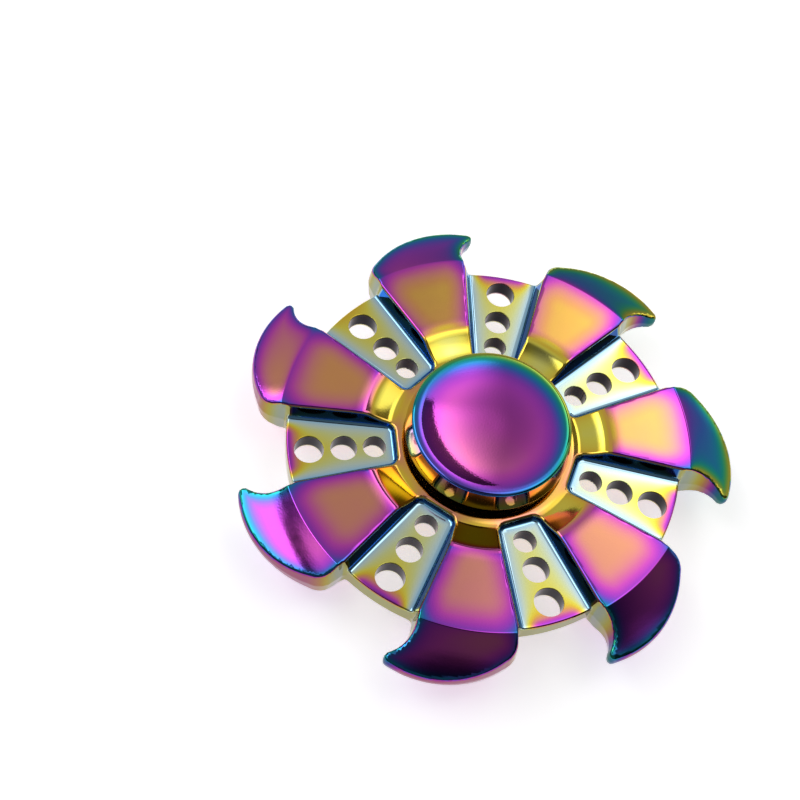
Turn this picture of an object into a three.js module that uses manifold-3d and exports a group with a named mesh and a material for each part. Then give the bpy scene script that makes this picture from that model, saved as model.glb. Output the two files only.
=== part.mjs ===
// Seven-bladed metal fidget spinner, in millimetres, +Z up.
// The origin is the centre of the bearing, on the spin axis and on the wheel's middle plane.
// A die-cast wheel turns on a small ball bearing; two dished finger caps screw together
// through the bearing's inner race and hold still between thumb and finger.
import * as THREE from "three";
import { mergeVertices } from "three/addons/utils/BufferGeometryUtils.js";
import Module from "manifold-3d";

const wasm = await Module();
wasm.setup();

// ---------------------------------------------------------------- driving dimensions

// Wheel
const BLADE_COUNT = 7;
const BODY_HALF_THICKNESS = 3.3; // middle plane to the blades' flat tops
const WEB_HALF_THICKNESS = 1.4; // middle plane to the pocket floors
const RIM_RADIUS = 25.1; // outer edge of the web between the blades
const FLAT_INNER_RADIUS = 15.9; // where the blades' flats start
const FLAT_OVERHANG = 1.0; // the flats run this far past the rim, then turn down into the bevel
const BEVEL_SLOPE = 0.418; // drop of the outer bevel per millimetre of radius
const HUB_RING_RADIUS = 11.8; // flat ring round the bearing
const HUB_RING_SETBACK = 0.08; // the hub ring lies this far behind the bearing's face
const VALLEY_RADIUS = 13.7; // lowest circle of the groove between hub ring and flats
const VALLEY_DEPTH = 0.45; // below the hub ring

// Blade outside the rim. Each point is [clockwise, outward], outward from the rim's circle.
const CROWN_MIDDLE = [1.5, 6.58]; // from the blade's middle line
const HEEL_START = [-0.3, 1.5]; // these three from the blade's anticlockwise root corner
const HEEL_MIDDLE = [0, 2.65];
const HEEL_END = [0.8, 3.5];
const TIP_TOP = [2.8, 5.4]; // and these five from its clockwise root corner
const TIP_POINT = [3.25, 4.85];
const TIP_UNDER = [2.8, 4.25];
const HOOK_MIDDLE = [1.15, 3.1];
const HOOK_END = [0.2, 0.9];

// Pocket between two blades, in a frame with Y along the pocket's middle line
const POCKET_INNER_Y = 11.7;
const POCKET_INNER_HALF_WIDTH = 2.7;
const POCKET_FLARE = 0.143; // growth of the floor's half width per millimetre of Y
const POCKET_CORNER = 0.9;
const POCKET_SIDE_DRAFT = 0.735; // how far a side wall leans out over the wall's height
const POCKET_END_DRAFT = 0.45;

// Hole rows through the pocket floors: distance from the axis, and diameter
const HOLE_ROW = [
  { radius: 14.1, diameter: 2.9 },
  { radius: 17.95, diameter: 3.35 },
  { radius: 22.3, diameter: 3.7 },
];

// Bearing, inch size R188
const BEARING_OUTER_DIAMETER = 12.7;
const BEARING_BORE_DIAMETER = 6.35;
const BEARING_WIDTH = 4.76;
const BALL_COUNT = 10;
const BALL_DIAMETER = 1.588;
const TRACK_DEPTH = 0.23; // of the ball tracks below the races' lands
const SEAT_DEPTH = 0.62; // depth of the recess for shield and snap ring, from the face
const SEAT_STEP = 0.4; // of that recess outside the outer race's land
const SHIELD_THICKNESS = 0.2;
const SNAP_RING_WIRE = 0.28;
const SNAP_RING_GAP_ANGLE = 30; // degrees left open
const CAGE_WALL = 0.64;
const CAGE_FLOOR = 0.3; // solid ring left under the balls
const CAGE_CLAW_HEIGHT = 0.45; // claws above the balls' middle plane

// Caps
const CAP_THICKNESS = 3.08; // skirt's lower edge to the crest of the rim
const CAP_EDGE_RADIUS = 10.0; // crisp edge between rim and skirt
const CAP_EDGE_DROP = 0.26; // from the crest down to that edge
const CAP_CREST_INNER_RADIUS = 9.1;
const CAP_CREST_OUTER_RADIUS = 9.5;
const CAP_DISH_DEPTH = 0.9;
const CAP_DISH_RADIUS = 8.7;
const CAP_DISH_EDGE_DROP = 0.14;
const CAP_SKIRT_RADIUS = 10.55; // lower edge of the flared skirt
const CAP_SKIRT_WALL = 0.7;
const CAP_RECESS_DEPTH = 0.4;
const CAP_BOSS_STEP = 0.2; // the boss's shoulder ends this far inside the inner race's land
const STUD_DIAMETER = 4.0; // thread M4, front cap
const STUD_LENGTH = 4.2;
const SOCKET_END_ROOM = 0.3;

// Clearances
const CAP_TO_HUB_GAP = 1.42; // hub ring to the skirt's lower edge
const RACE_TO_BODY_GAP = 0.02;
const BALL_GAP = 0.05;
const CAGE_POCKET_GAP = 0.07;
const SHIELD_GAP = 0.12; // shield to the turning land, and its own seat
const SPIGOT_GAP = 0.06;
const THREAD_GAP = 0.1;
const SPIGOT_END_GAP = 0.1; // each spigot stops this far from the middle plane

// Facets
const WHEEL_SEGMENTS = 8 * BLADE_COUNT;
const CAP_SEGMENTS = 36;
const RACE_SEGMENTS = 30;
const HOLE_SEGMENTS = 12;
const OVERSHOOT = 1; // how far a cutting tool runs past the face it opens

// ---------------------------------------------------------------- derived sizes

const PITCH = (2 * Math.PI) / BLADE_COUNT;
const BEARING_HALF_WIDTH = BEARING_WIDTH / 2;
const BALL_RADIUS = BALL_DIAMETER / 2;
const BALL_CIRCLE_RADIUS = (BEARING_OUTER_DIAMETER + BEARING_BORE_DIAMETER) / 4;
const INNER_LAND_RADIUS = BALL_CIRCLE_RADIUS - BALL_RADIUS + TRACK_DEPTH;
const OUTER_LAND_RADIUS = BALL_CIRCLE_RADIUS + BALL_RADIUS - TRACK_DEPTH;
const SEAT_RADIUS = OUTER_LAND_RADIUS + SEAT_STEP;
const HUB_RING_HEIGHT = BEARING_HALF_WIDTH - HUB_RING_SETBACK;
const VALLEY_HEIGHT = HUB_RING_HEIGHT - VALLEY_DEPTH;
const CAP_SKIRT_HEIGHT = HUB_RING_HEIGHT + CAP_TO_HUB_GAP;
const CAP_HEIGHT = CAP_SKIRT_HEIGHT + CAP_THICKNESS;
const FLAT_OUTER_RADIUS = RIM_RADIUS + FLAT_OVERHANG;

// ---------------------------------------------------------------- materials

function metal(color, roughness) {
  return new THREE.MeshStandardMaterial({ color, roughness, metalness: 1 });
}

const RAINBOW_PLATE = metal(0xb44fb0, 0.12);
const CAP_PLATE = metal(0xc03fc8, 0.08);
const BEARING_STEEL = metal(0xc9cbd0, 0.2);
const BALL_STEEL = metal(0xe2e4e8, 0.05);
const SPRING_STEEL = metal(0x9da0a6, 0.3);
const CAGE_STEEL = metal(0xb89b5e, 0.35);

// ---------------------------------------------------------------- solid helpers

function toSolid(geometry) {
  const plain = geometry.index ? geometry.toNonIndexed() : geometry.clone();
  plain.deleteAttribute("normal");
  plain.deleteAttribute("uv");
  const merged = mergeVertices(plain, 1e-4);
  return new wasm.Manifold(
    new wasm.Mesh({
      numProp: 3,
      vertProperties: new Float32Array(merged.attributes.position.array),
      triVerts: new Uint32Array(merged.index.array),
    }),
  );
}

function toGeometry(solid) {
  const mesh = solid.getMesh();
  const geometry = new THREE.BufferGeometry();
  geometry.setAttribute("position", new THREE.BufferAttribute(mesh.vertProperties, 3));
  geometry.setIndex(new THREE.BufferAttribute(mesh.triVerts, 1));
  geometry.computeVertexNormals();
  return geometry;
}

// A closed [radius, height] profile, counter-clockwise, turned about +Z.
function turned(profile, segments) {
  const closed = profile[0][0] > 0 ? [...profile, profile[0]] : profile;
  const points = closed.map(([radius, height]) => new THREE.Vector2(radius, height));
  return new THREE.LatheGeometry(points, segments).rotateX(Math.PI / 2);
}

function mirroredAcrossMiddle(profile) {
  return profile.map(([radius, height]) => [radius, -height]).reverse();
}

// The circle arc from a through b to c, as points.
function arcThrough(a, b, c, steps) {
  const [ax, ay, bx, by, cx, cy] = [...a, ...b, ...c];
  const d = 2 * (ax * (by - cy) + bx * (cy - ay) + cx * (ay - by));
  const [a2, b2, c2] = [ax * ax + ay * ay, bx * bx + by * by, cx * cx + cy * cy];
  const ux = (a2 * (by - cy) + b2 * (cy - ay) + c2 * (ay - by)) / d;
  const uy = (a2 * (cx - bx) + b2 * (ax - cx) + c2 * (bx - ax)) / d;
  const radius = Math.hypot(ax - ux, ay - uy);
  const start = Math.atan2(ay - uy, ax - ux);
  const turn = (angle, way) => THREE.MathUtils.euclideanModulo(way * angle, 2 * Math.PI);
  const end = Math.atan2(cy - uy, cx - ux);
  const middle = Math.atan2(by - uy, bx - ux);
  const way = turn(middle - start, 1) < turn(end - start, 1) ? 1 : -1;
  const sweep = way * turn(end - start, way);
  return Array.from({ length: steps + 1 }, (_, i) => {
    const angle = start + (sweep * i) / steps;
    return [ux + radius * Math.cos(angle), uy + radius * Math.sin(angle)];
  });
}

function prism(outline, bottom, top) {
  const shape = new THREE.Shape(outline.map(([x, y]) => new THREE.Vector2(x, y)));
  const options = { depth: top - bottom, bevelEnabled: false, steps: 1 };
  return new THREE.ExtrudeGeometry(shape, options).translate(0, 0, bottom);
}

// A solid between two outlines with the same number of points, counter-clockwise.
function lofted(lower, upper, bottom, top) {
  const count = lower.length;
  const positions = [];
  lower.forEach(([x, y]) => positions.push(x, y, bottom));
  upper.forEach(([x, y]) => positions.push(x, y, top));
  const flat = lower.map(([x, y]) => new THREE.Vector2(x, y));
  const index = [];
  for (const [a, b, c] of THREE.ShapeUtils.triangulateShape(flat, [])) {
    index.push(a, c, b, a + count, b + count, c + count);
  }
  for (let i = 0; i < count; i++) {
    const next = (i + 1) % count;
    index.push(i, next, next + count, i, next + count, i + count);
  }
  const geometry = new THREE.BufferGeometry();
  geometry.setAttribute("position", new THREE.Float32BufferAttribute(positions, 3));
  geometry.setIndex(index);
  return geometry;
}

function cylinder(radius, bottom, top, segments) {
  return new THREE.CylinderGeometry(radius, radius, top - bottom, segments)
    .rotateX(Math.PI / 2)
    .translate(0, 0, (top + bottom) / 2);
}

function addMesh(group, name, geometry, material) {
  const mesh = new THREE.Mesh(geometry, material);
  mesh.name = name;
  group.add(mesh);
}

// ---------------------------------------------------------------- wheel

// Half the width of a blade where its side lines, the pockets' upper edges, cross the rim.
function bladeRootHalfWidth() {
  const start = POCKET_INNER_HALF_WIDTH + POCKET_SIDE_DRAFT - POCKET_FLARE * POCKET_INNER_Y;
  const slope = 1 + POCKET_FLARE ** 2;
  const root = Math.sqrt((start * POCKET_FLARE) ** 2 - slope * (start ** 2 - RIM_RADIUS ** 2));
  const pocketY = (root - start * POCKET_FLARE) / slope;
  const pocketAngle = Math.atan2(start + POCKET_FLARE * pocketY, pocketY);
  return RIM_RADIUS * Math.sin(PITCH / 2 - pocketAngle);
}

// The hooked outer end of a blade, with a root that reaches into the web.
function bladeOutline() {
  const root = bladeRootHalfWidth();
  const rootDepth = RIM_RADIUS - Math.sqrt(RIM_RADIUS ** 2 - root ** 2);
  const left = ([x, y]) => [x - root, y];
  const right = ([x, y]) => [x + root, y];
  return [
    [-root, -rootDepth],
    [root, -rootDepth],
    ...arcThrough(right(HOOK_END), right(HOOK_MIDDLE), right(TIP_UNDER), 5),
    right(TIP_POINT),
    ...arcThrough(right(TIP_TOP), CROWN_MIDDLE, left(HEEL_END), 8),
    ...arcThrough(left(HEEL_END), left(HEEL_MIDDLE), left(HEEL_START), 3).slice(1),
  ].map(([x, y]) => [x, RIM_RADIUS + y]);
}

// Heights of the wheel's face against radius, from the bearing out past the blade tips.
function faceProfile(boreRadius, outerRadius) {
  const points = [[boreRadius, HUB_RING_HEIGHT]];
  const innerSteps = 3;
  for (let i = 0; i <= innerSteps; i++) {
    const t = i / innerSteps;
    const height = VALLEY_HEIGHT + ((HUB_RING_HEIGHT - VALLEY_HEIGHT) * (1 + Math.cos(Math.PI * t))) / 2;
    points.push([HUB_RING_RADIUS + (VALLEY_RADIUS - HUB_RING_RADIUS) * t, height]);
  }
  const outerSteps = 4;
  for (let i = 1; i <= outerSteps; i++) {
    const angle = ((Math.PI / 2) * i) / outerSteps;
    points.push([
      VALLEY_RADIUS + (FLAT_INNER_RADIUS - VALLEY_RADIUS) * Math.sin(angle),
      BODY_HALF_THICKNESS - (BODY_HALF_THICKNESS - VALLEY_HEIGHT) * Math.cos(angle),
    ]);
  }
  points.push([FLAT_OUTER_RADIUS, BODY_HALF_THICKNESS]);
  points.push([outerRadius, BODY_HALF_THICKNESS - BEVEL_SLOPE * (outerRadius - FLAT_OUTER_RADIUS)]);
  return points;
}

function pocketOutline(sideDraft, endDraft) {
  const outerY = RIM_RADIUS + OVERSHOOT;
  const innerY = POCKET_INNER_Y - endDraft;
  const inner = POCKET_INNER_HALF_WIDTH + sideDraft;
  const outer = inner + POCKET_FLARE * (outerY - POCKET_INNER_Y);
  const lean = POCKET_CORNER * 0.3; // middle of the rounded corner, off its two straight sides
  const corner = arcThrough(
    [-inner, innerY + POCKET_CORNER],
    [-inner + lean, innerY + lean],
    [-inner + POCKET_CORNER, innerY],
    3,
  );
  return [
    [outer, outerY],
    [-outer, outerY],
    ...corner,
    ...corner.map(([x, y]) => [-x, y]).reverse(),
  ];
}

// One pocket on the front face, from its floor up past the blades' flats.
function pocketCutter() {
  const wallHeight = BODY_HALF_THICKNESS - WEB_HALF_THICKNESS;
  const reach = (wallHeight + OVERSHOOT) / wallHeight;
  return lofted(
    pocketOutline(0, 0),
    pocketOutline(POCKET_SIDE_DRAFT * reach, POCKET_END_DRAFT * reach),
    WEB_HALF_THICKNESS,
    BODY_HALF_THICKNESS + OVERSHOOT,
  );
}

function spinnerBody() {
  const boreRadius = BEARING_OUTER_DIAMETER / 2 + RACE_TO_BODY_GAP;
  const outline = bladeOutline();
  const tipReach = Math.max(...outline.map(([x, y]) => Math.hypot(x, y))) + OVERSHOOT;
  const face = faceProfile(boreRadius, tipReach);
  const envelope = toSolid(turned([...mirroredAcrossMiddle(face), ...face].reverse(), WHEEL_SEGMENTS));

  const planTop = BODY_HALF_THICKNESS + OVERSHOOT;
  let plan = toSolid(cylinder(RIM_RADIUS, -planTop, planTop, WHEEL_SEGMENTS));
  const blade = prism(outline, -planTop, planTop);
  for (let i = 0; i < BLADE_COUNT; i++) {
    plan = plan.add(toSolid(blade.clone().rotateZ((i + 0.5) * PITCH)));
  }

  let body = envelope.intersect(plan);
  const front = pocketCutter();
  const rear = front.clone().rotateY(Math.PI);
  const holeTop = WEB_HALF_THICKNESS + OVERSHOOT;
  for (let i = 0; i < BLADE_COUNT; i++) {
    const angle = i * PITCH;
    body = body.subtract(toSolid(front.clone().rotateZ(angle)));
    body = body.subtract(toSolid(rear.clone().rotateZ(angle)));
    for (const { radius, diameter } of HOLE_ROW) {
      const hole = cylinder(diameter / 2, -holeTop, holeTop, HOLE_SEGMENTS);
      body = body.subtract(toSolid(hole.translate(0, radius, 0).rotateZ(angle)));
    }
  }
  return toGeometry(body);
}

// ---------------------------------------------------------------- bearing

// Half circle of a ball track, from the front land to the rear land, on the given side.
function track(landRadius, side) {
  const trackRadius = BALL_RADIUS + BALL_GAP;
  const reach = side * (landRadius - BALL_CIRCLE_RADIUS);
  const half = Math.acos(reach / trackRadius);
  const steps = 4;
  return Array.from({ length: steps + 1 }, (_, i) => {
    const angle = half - (2 * half * i) / steps;
    return [BALL_CIRCLE_RADIUS + side * trackRadius * Math.cos(angle), trackRadius * Math.sin(angle)];
  });
}

function innerRace() {
  const bore = BEARING_BORE_DIAMETER / 2;
  const land = INNER_LAND_RADIUS;
  const face = BEARING_HALF_WIDTH;
  return turned(
    [[bore, face], [land, face], ...track(land, -1), [land, -face], [bore, -face]].reverse(),
    RACE_SEGMENTS,
  );
}

function outerRace() {
  const outer = BEARING_OUTER_DIAMETER / 2;
  const land = OUTER_LAND_RADIUS;
  const seat = SEAT_RADIUS;
  const face = BEARING_HALF_WIDTH;
  const floor = face - SEAT_DEPTH;
  const inside = [
    [seat, face],
    [seat, floor],
    [land, floor],
    ...track(land, 1),
    [land, -floor],
    [seat, -floor],
    [seat, -face],
  ];
  return turned([...inside, [outer, -face], [outer, face]], RACE_SEGMENTS);
}

// Crown cage: a ring under the balls with claws that reach up between them.
function cage() {
  const pocketRadius = BALL_RADIUS + CAGE_POCKET_GAP;
  const inner = BALL_CIRCLE_RADIUS - CAGE_WALL / 2;
  const outer = BALL_CIRCLE_RADIUS + CAGE_WALL / 2;
  const bottom = -pocketRadius - CAGE_FLOOR;
  const ring = turned(
    [[inner, bottom], [outer, bottom], [outer, CAGE_CLAW_HEIGHT], [inner, CAGE_CLAW_HEIGHT]],
    RACE_SEGMENTS,
  );
  let solid = toSolid(ring);
  for (let i = 0; i < BALL_COUNT; i++) {
    const pocket = new THREE.SphereGeometry(pocketRadius, 8, 6);
    pocket.translate(BALL_CIRCLE_RADIUS, 0, 0).rotateZ((i / BALL_COUNT) * 2 * Math.PI);
    solid = solid.subtract(toSolid(pocket));
  }
  return toGeometry(solid);
}

function shield(side) {
  const inner = INNER_LAND_RADIUS + SHIELD_GAP;
  const outer = SEAT_RADIUS - SHIELD_GAP;
  const back = BEARING_HALF_WIDTH - SEAT_DEPTH;
  const front = back + SHIELD_THICKNESS;
  const profile = [[inner, back], [outer, back], [outer, front], [inner, front]];
  return turned(side > 0 ? profile : mirroredAcrossMiddle(profile), RACE_SEGMENTS);
}

// An open ring of square wire that holds the shield in its seat.
function snapRing(side) {
  const outer = SEAT_RADIUS - SHIELD_GAP / 2;
  const inner = outer - SNAP_RING_WIRE;
  const open = THREE.MathUtils.degToRad(SNAP_RING_GAP_ANGLE) / 2;
  const shape = new THREE.Shape();
  shape.absarc(0, 0, outer, open, 2 * Math.PI - open, false);
  shape.absarc(0, 0, inner, 2 * Math.PI - open, open, true);
  const options = { depth: SNAP_RING_WIRE, bevelEnabled: false, curveSegments: 14 };
  const bottom = BEARING_HALF_WIDTH - SEAT_DEPTH + SHIELD_THICKNESS + SHIELD_GAP / 2;
  const ring = new THREE.ExtrudeGeometry(shape, options).translate(0, 0, bottom);
  return side > 0 ? ring : ring.rotateX(Math.PI);
}

// ---------------------------------------------------------------- caps

// Outside of a cap from the middle of its dish, over the rim and skirt, to the boss.
function capShell() {
  const dishSteps = 3;
  const dish = [];
  for (let i = 0; i <= dishSteps; i++) {
    const t = i / dishSteps;
    const depth = CAP_DISH_DEPTH - (CAP_DISH_DEPTH - CAP_DISH_EDGE_DROP) * t * t;
    dish.push([CAP_DISH_RADIUS * t, CAP_HEIGHT - depth]);
  }
  const boss = INNER_LAND_RADIUS - CAP_BOSS_STEP;
  const under = CAP_SKIRT_RADIUS - CAP_SKIRT_WALL;
  return [
    ...dish,
    [CAP_CREST_INNER_RADIUS, CAP_HEIGHT],
    [CAP_CREST_OUTER_RADIUS, CAP_HEIGHT],
    [CAP_EDGE_RADIUS, CAP_HEIGHT - CAP_EDGE_DROP],
    [CAP_SKIRT_RADIUS, CAP_SKIRT_HEIGHT],
    [under, CAP_SKIRT_HEIGHT],
    [under - CAP_RECESS_DEPTH, CAP_SKIRT_HEIGHT + CAP_RECESS_DEPTH],
    [boss, CAP_SKIRT_HEIGHT + CAP_RECESS_DEPTH],
    [boss, BEARING_HALF_WIDTH],
  ];
}

function frontCap() {
  const spigot = BEARING_BORE_DIAMETER / 2 - SPIGOT_GAP;
  const stud = STUD_DIAMETER / 2;
  const profile = [
    ...capShell(),
    [spigot, BEARING_HALF_WIDTH],
    [spigot, SPIGOT_END_GAP],
    [stud, SPIGOT_END_GAP],
    [stud, SPIGOT_END_GAP - STUD_LENGTH],
    [0, SPIGOT_END_GAP - STUD_LENGTH],
  ];
  return turned(profile.reverse(), CAP_SEGMENTS);
}

function rearCap() {
  const spigot = BEARING_BORE_DIAMETER / 2 - SPIGOT_GAP;
  const socket = STUD_DIAMETER / 2 + THREAD_GAP;
  const socketEnd = STUD_LENGTH - SPIGOT_END_GAP + SOCKET_END_ROOM;
  const profile = [
    ...capShell(),
    [spigot, BEARING_HALF_WIDTH],
    [spigot, SPIGOT_END_GAP],
    [socket, SPIGOT_END_GAP],
    [socket, socketEnd],
    [0, socketEnd],
  ];
  return turned(mirroredAcrossMiddle(profile.reverse()), CAP_SEGMENTS);
}

// ---------------------------------------------------------------- assembly

const group = new THREE.Group();

const wheel = new THREE.Group();
addMesh(wheel, "spinner_body", spinnerBody(), RAINBOW_PLATE);
addMesh(wheel, "bearing_outer_race", outerRace(), BEARING_STEEL);
addMesh(wheel, "front_shield", shield(1), SPRING_STEEL);
addMesh(wheel, "rear_shield", shield(-1), SPRING_STEEL);
addMesh(wheel, "front_snap_ring", snapRing(1), SPRING_STEEL);
addMesh(wheel, "rear_snap_ring", snapRing(-1), SPRING_STEEL);
group.add(wheel);

const rolling = new THREE.Group();
addMesh(rolling, "bearing_cage", cage(), CAGE_STEEL);
for (let i = 0; i < BALL_COUNT; i++) {
  const angle = (i / BALL_COUNT) * 2 * Math.PI;
  const place = [BALL_CIRCLE_RADIUS * Math.cos(angle), BALL_CIRCLE_RADIUS * Math.sin(angle), 0];
  const ball = new THREE.IcosahedronGeometry(BALL_RADIUS, 1).translate(...place);
  addMesh(rolling, `bearing_ball_${String(i + 1).padStart(2, "0")}`, ball, BALL_STEEL);
}
group.add(rolling);

const caps = new THREE.Group();
addMesh(caps, "front_cap", frontCap(), CAP_PLATE);
addMesh(caps, "rear_cap", rearCap(), CAP_PLATE);
addMesh(caps, "bearing_inner_race", innerRace(), BEARING_STEEL);
group.add(caps);

export default group;
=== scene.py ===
"""The looks of a seven-bladed, rainbow-plated fidget spinner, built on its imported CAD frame.

Shapes are worked out in millimetres, in the CAD frame: +Z is the spin axis and the origin is
the bearing's centre. They become metres when a mesh is made.
"""
import math

import bpy
import numpy as np
from mathutils import Matrix, Vector


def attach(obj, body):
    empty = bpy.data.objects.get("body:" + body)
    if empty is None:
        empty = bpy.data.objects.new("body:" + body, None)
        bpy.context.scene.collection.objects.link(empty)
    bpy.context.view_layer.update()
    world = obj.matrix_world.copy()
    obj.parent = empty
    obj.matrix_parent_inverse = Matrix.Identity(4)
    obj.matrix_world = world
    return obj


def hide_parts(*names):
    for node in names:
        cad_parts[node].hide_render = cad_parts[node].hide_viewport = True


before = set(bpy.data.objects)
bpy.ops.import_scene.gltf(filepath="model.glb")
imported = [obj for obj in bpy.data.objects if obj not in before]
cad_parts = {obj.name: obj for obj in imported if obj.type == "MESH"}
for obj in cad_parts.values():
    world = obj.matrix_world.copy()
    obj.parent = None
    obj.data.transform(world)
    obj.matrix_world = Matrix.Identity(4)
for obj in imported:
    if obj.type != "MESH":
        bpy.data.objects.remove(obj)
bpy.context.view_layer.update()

# ------------------------------------------------------------------ sizes, in millimetres

MM = 0.001

BLADES = 7
BODY_TOP = 3.3
WEB_TOP = 1.4
RIM_R = 25.1
FLAT_INNER_R = 16.05
FLAT_OUTER_R = 26.1
BEVEL_SLOPE = 0.418
BEVEL_SCOOP = 0.12
HUB_R = 11.0
HUB_RISE = 0.12  # of the ring round the cap above the valley's bottom
VALLEY_R = 12.0
VALLEY_SLOPE = 0.48  # steepest, at LIP_R; from there the surface rounds off into the flats
LIP_R = 14.9

POCKET_INNER_Y = 11.7
POCKET_INNER_HALF = 2.7
POCKET_FLARE = 0.143
POCKET_CORNER_R = 0.95
POCKET_DRAFT = 0.735 / (BODY_TOP - WEB_TOP)
OUTER_DRAFT = 0.12

HOLES = ((14.1, 1.45), (17.95, 1.675), (22.3, 1.85))  # distance from the axis, radius

EDGE_ROUND = 0.3
SOFT_EDGE = 1.3  # polishing has rounded the faces off over this distance from their edges
SOFT_DROP = 0.08
RIM_FILLET = 0.5
FLOOR_FILLET = 0.4
HOLE_ROUND = 0.12

BORE_R = 6.37
BALLS = 10
BALL_R = 0.794
BALL_CIRCLE_R = 4.7625
BEARING_TOP = 2.38
TRACK_R = BALL_R + 0.05
INNER_LAND_R = BALL_CIRCLE_R - BALL_R + 0.23
OUTER_LAND_R = BALL_CIRCLE_R + BALL_R - 0.23
SEAT_R = OUTER_LAND_R + 0.4
SEAT_FLOOR = BEARING_TOP - 0.62
RACE_BORE_R = 3.175
RACE_OUTER_R = 6.35

CAP_TOP = 6.8
CAP_EDGE_R = 10.0
CAP_EDGE_DROP = 0.34
CAP_EDGE_Z = CAP_TOP - CAP_EDGE_DROP
CAP_CREST_R = 9.4
CAP_DISH_R = 8.6
CAP_DISH_SLOPE = 0.235
CAP_SKIRT_R = 10.55
CAP_SKIRT_Z = 3.72


# ------------------------------------------------------------------ plane geometry


def arc_through(a, b, c, steps):
    """Points of the circle arc from a through b to c."""
    (ax, ay), (bx, by), (cx, cy) = a, b, c
    d = 2 * (ax * (by - cy) + bx * (cy - ay) + cx * (ay - by))
    a2, b2, c2 = ax * ax + ay * ay, bx * bx + by * by, cx * cx + cy * cy
    ux = (a2 * (by - cy) + b2 * (cy - ay) + c2 * (ay - by)) / d
    uy = (a2 * (cx - bx) + b2 * (ax - cx) + c2 * (bx - ax)) / d
    start = math.atan2(ay - uy, ax - ux)
    turn = 2 * math.pi
    middle = (math.atan2(by - uy, bx - ux) - start) % turn
    end = (math.atan2(cy - uy, cx - ux) - start) % turn
    sweep = end if middle < end else end - turn
    angles = start + sweep * np.linspace(0, 1, steps + 1)
    radius = math.hypot(ax - ux, ay - uy)
    return np.column_stack([ux + radius * np.cos(angles), uy + radius * np.sin(angles)])


def polygon_distance(x, y, outline):
    """Signed distance from points to a closed outline: negative inside."""
    outline = np.asarray(outline, float)
    shape = np.shape(x)
    px, py = np.ravel(x), np.ravel(y)
    nearest = np.full(px.shape, np.inf)
    inside = np.zeros(px.shape, bool)
    for (ax, ay), (bx, by) in zip(outline, np.roll(outline, -1, axis=0)):
        ex, ey = bx - ax, by - ay
        if ex == 0 and ey == 0:
            continue
        t = np.clip(((px - ax) * ex + (py - ay) * ey) / (ex * ex + ey * ey), 0, 1)
        nearest = np.minimum(nearest, (px - ax - t * ex) ** 2 + (py - ay - t * ey) ** 2)
        crosses = (ay > py) != (by > py)
        with np.errstate(divide="ignore", invalid="ignore"):
            inside ^= crosses & (px < (py - ay) * ex / ey + ax)
    return (np.sqrt(nearest) * np.where(inside, -1, 1)).reshape(shape)


def smoothstep(low, high, value):
    t = np.clip((value - low) / (high - low), 0, 1)
    return t * t * (3 - 2 * t)


def round_max(a, b, radius):
    """Intersection of two signed distances, with its outer edge rounded."""
    u, v = np.maximum(radius + a, 0), np.maximum(radius + b, 0)
    return np.minimum(-radius, np.maximum(a, b)) + np.hypot(u, v)


def round_min(a, b, radius):
    """Union of two signed distances, with a fillet in its corner."""
    return -round_max(-a, -b, radius)


# ------------------------------------------------------------------ wheel shape


def blade_outline():
    """The blade's outline outside the rim: X clockwise, Y along its middle line."""
    start = POCKET_INNER_HALF + POCKET_DRAFT * (BODY_TOP - WEB_TOP) - POCKET_FLARE * POCKET_INNER_Y
    slope = 1 + POCKET_FLARE**2
    root = math.sqrt((start * POCKET_FLARE) ** 2 - slope * (start**2 - RIM_R**2))
    pocket_y = (root - start * POCKET_FLARE) / slope
    pocket_angle = math.atan2(start + POCKET_FLARE * pocket_y, pocket_y)
    half = RIM_R * math.sin(math.pi / BLADES - pocket_angle)

    def left(x, y):
        return (x - half, RIM_R + y)

    def right(x, y):
        return (x + half, RIM_R + y)

    base = math.sqrt(RIM_R**2 - half**2)
    flare = math.tan(math.pi / BLADES - math.atan(POCKET_FLARE))
    deep = 6.0
    return np.vstack([
        [(-half + deep * flare, base - deep), (half - deep * flare, base - deep), (half, base)],
        arc_through(right(0.2, 0.9), right(1.15, 3.1), right(2.8, 4.25), 16),
        arc_through(right(3.0, 4.4), right(3.25, 4.85), right(3.0, 5.3), 6),
        arc_through(right(2.8, 5.4), (1.5, RIM_R + 6.58), left(0.8, 3.5), 40),
        arc_through(left(0.8, 3.5), left(0.0, 2.65), left(-0.3, 1.5), 12)[1:],
        [(-half, base)],
    ])


def face_outline():
    """Section of the solid that holds the wheel's front face: radius, height."""
    r = np.linspace(VALLEY_R, FLAT_INNER_R, 45)
    climb = np.clip((r - VALLEY_R) / (LIP_R - VALLEY_R), 0, 1) ** 0.6
    slope = VALLEY_SLOPE * climb * np.clip((FLAT_INNER_R - r) / (FLAT_INNER_R - LIP_R), 0, 1)
    rise = np.concatenate([[0], np.cumsum((slope[1:] + slope[:-1]) / 2 * np.diff(r))])
    valley_top = BODY_TOP - SOFT_DROP * 0.6 - rise[-1]
    valley_out = np.column_stack([r, valley_top + rise])[:-1]
    ease = np.linspace(0, 1, 9)[:-1]
    valley_in = np.column_stack([
        HUB_R + (VALLEY_R - HUB_R) * ease,
        valley_top + HUB_RISE * (1 + np.cos(np.pi * ease)) / 2,
    ])
    soft = np.linspace(0, 1, 5)
    flat_in = np.column_stack([
        FLAT_INNER_R + SOFT_EDGE * soft,
        BODY_TOP - SOFT_DROP * 0.6 * (1 - soft) ** 2,
    ])
    bevel_r = np.linspace(0, 9, 37)
    bevel = np.column_stack([
        FLAT_OUTER_R + bevel_r,
        BODY_TOP - BEVEL_SLOPE * bevel_r - BEVEL_SCOOP * np.sin(np.pi * np.clip(bevel_r / 6, 0, 1)),
    ])
    far = bevel[-1, 0]
    return np.vstack([
        [(0, -9), (0, valley_top + HUB_RISE)],
        valley_in,
        valley_out,
        flat_in,
        bevel,
        [(far, -9)],
    ])


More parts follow.
